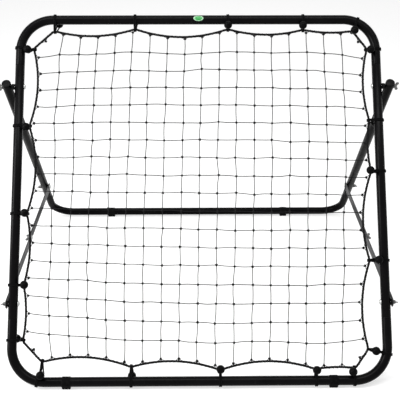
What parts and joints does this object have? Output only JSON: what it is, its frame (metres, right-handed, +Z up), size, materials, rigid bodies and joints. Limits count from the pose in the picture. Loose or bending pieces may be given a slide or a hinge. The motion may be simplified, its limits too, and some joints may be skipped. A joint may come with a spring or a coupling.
{
  "type": "soccer rebound net",
  "caption": "Leaning square tube frame with a square-mesh net laced to a scalloped edge rope on ball bungees, propped by a folding U-shaped rear stand with folding side stays.",
  "frame": {"origin": "on the ground, in the middle of the bounding box's underside", "axes": "+Z up; -Y is the front, the side the net faces; +X is the right-hand side as seen from the front"},
  "size_m": [1.0918, 0.9455, 0.8222],
  "materials": {
    "tube": "satin black powder coat",
    "stay_bar": "dark grey semi-gloss coat",
    "zinc_bolt": "bright zinc plate",
    "zinc_nut": "dull zinc plate",
    "foot_rubber": "matt black rubber",
    "black_plastic": "black moulded plastic",
    "bungee": "black plastic ball on black sheathed elastic cord",
    "rope": "black braided rope",
    "twine": "dark grey knotted twine",
    "label": "plain green label film"
  },
  "bodies": {
    "frame": {"frame_top_bow": "tube", "frame_bottom_bow": "tube", "frame_side_left": "tube", "frame_side_right": "tube", "foot_front_left": "foot_rubber", "foot_front_right": "foot_rubber", "net": "twine", "edge_rope": "rope", "tube_label": "label", "bungee_top_1": "bungee", "bungee_top_2": "bungee", "bungee_top_3": "bungee", "bungee_top_4": "bungee", "bungee_top_5": "bungee", "bungee_bottom_1": "bungee", "bungee_bottom_2": "bungee", "bungee_bottom_3": "bungee", "bungee_bottom_4": "bungee", "bungee_bottom_5": "bungee", "bungee_left_1": "bungee", "bungee_left_2": "bungee", "bungee_left_3": "bungee", "bungee_left_4": "bungee", "bungee_left_5": "bungee", "bungee_right_1": "bungee", "bungee_right_2": "bungee", "bungee_right_3": "bungee", "bungee_right_4": "bungee", "bungee_right_5": "bungee", "pivot_bolt_left": "zinc_bolt", "pivot_bolt_right": "zinc_bolt", "stay_lower_bolt_left": "zinc_bolt", "stay_lower_bolt_right": "zinc_bolt", "pivot_spacer_left": "black_plastic", "pivot_spacer_right": "black_plastic", "stay_spacer_left": "black_plastic", "stay_spacer_right": "black_plastic"},
    "stand": {"stand_arm_left": "tube", "stand_arm_right": "tube", "stand_rear_bow": "tube", "arm_cap_left": "black_plastic", "arm_cap_right": "black_plastic", "foot_rear_left": "foot_rubber", "foot_rear_right": "foot_rubber", "stay_upper_bolt_left": "zinc_bolt", "stay_upper_bolt_right": "zinc_bolt"},
    "stay_lower_left": {"stay_lower_bar_left": "stay_bar", "stay_mid_bolt_left": "zinc_bolt"},
    "stay_upper_left": {"stay_upper_bar_left": "stay_bar"},
    "stay_lower_right": {"stay_lower_bar_right": "stay_bar", "stay_mid_bolt_right": "zinc_bolt"},
    "stay_upper_right": {"stay_upper_bar_right": "stay_bar"},
    "pivot_nut_left": {"pivot_wing_nut_left": "zinc_nut"},
    "stay_lower_nut_left": {"stay_lower_wing_nut_left": "zinc_nut"},
    "stay_upper_nut_left": {"stay_upper_wing_nut_left": "zinc_nut"},
    "stay_mid_nut_left": {"stay_mid_wing_nut_left": "zinc_nut"},
    "pivot_nut_right": {"pivot_wing_nut_right": "zinc_nut"},
    "stay_lower_nut_right": {"stay_lower_wing_nut_right": "zinc_nut"},
    "stay_upper_nut_right": {"stay_upper_wing_nut_right": "zinc_nut"},
    "stay_mid_nut_right": {"stay_mid_wing_nut_right": "zinc_nut"}
  },
  "joints": [
    {"name": "stand_fold", "type": "hinge", "parent": "frame", "child": "stand", "pos_m": [0, 0.00507, 0.65238], "axis": [-1, 0, 0], "range_deg": [0, 58]},
    {"name": "stay_lower_left_fold", "type": "hinge", "parent": "frame", "child": "stay_lower_left", "pos_m": [-0.5046, -0.33878, 0.1791], "axis": [1, 0, 0], "range_deg": [0, 49.4]},
    {"name": "stay_upper_left_fold", "type": "hinge", "parent": "stand", "child": "stay_upper_left", "pos_m": [-0.5069, 0.34471, 0.17607], "axis": [-1, 0, 0], "range_deg": [0, 49.4]},
    {"name": "stay_lower_right_fold", "type": "hinge", "parent": "frame", "child": "stay_lower_right", "pos_m": [0.5046, -0.33878, 0.1791], "axis": [1, 0, 0], "range_deg": [0, 49.4]},
    {"name": "stay_upper_right_fold", "type": "hinge", "parent": "stand", "child": "stay_upper_right", "pos_m": [0.5069, 0.34471, 0.17607], "axis": [-1, 0, 0], "range_deg": [0, 49.4]},
    {"name": "pivot_nut_left_turn", "type": "hinge", "parent": "frame", "child": "pivot_nut_left", "pos_m": [-0.5335, 0.00507, 0.65238], "axis": [-1, 0, 0], "continuous": true},
    {"name": "stay_lower_nut_left_turn", "type": "hinge", "parent": "frame", "child": "stay_lower_nut_left", "pos_m": [-0.5059, -0.33878, 0.1791], "axis": [-1, 0, 0], "continuous": true},
    {"name": "stay_upper_nut_left_turn", "type": "hinge", "parent": "stand", "child": "stay_upper_nut_left", "pos_m": [-0.5335, 0.34471, 0.17607], "axis": [-1, 0, 0], "continuous": true},
    {"name": "stay_mid_nut_left_turn", "type": "hinge", "parent": "stay_upper_left", "child": "stay_mid_nut_left", "pos_m": [-0.5082, 0.00296, 0.17759], "axis": [-1, 0, 0], "continuous": true},
    {"name": "pivot_nut_right_turn", "type": "hinge", "parent": "frame", "child": "pivot_nut_right", "pos_m": [0.5335, 0.00507, 0.65238], "axis": [1, 0, 0], "continuous": true},
    {"name": "stay_lower_nut_right_turn", "type": "hinge", "parent": "frame", "child": "stay_lower_nut_right", "pos_m": [0.5059, -0.33878, 0.1791], "axis": [1, 0, 0], "continuous": true},
    {"name": "stay_upper_nut_right_turn", "type": "hinge", "parent": "stand", "child": "stay_upper_nut_right", "pos_m": [0.5335, 0.34471, 0.17607], "axis": [1, 0, 0], "continuous": true},
    {"name": "stay_mid_nut_right_turn", "type": "hinge", "parent": "stay_upper_right", "child": "stay_mid_nut_right", "pos_m": [0.5082, 0.00296, 0.17759], "axis": [1, 0, 0], "continuous": true}
  ],
  "couplings": [
    {"joint": "stay_lower_left_fold", "follows": "stand_fold", "ratio": 0.8509},
    {"joint": "stay_upper_left_fold", "follows": "stand_fold", "ratio": 0.8509},
    {"joint": "stay_lower_right_fold", "follows": "stand_fold", "ratio": 0.8509},
    {"joint": "stay_upper_right_fold", "follows": "stand_fold", "ratio": 0.8509}
  ]
}
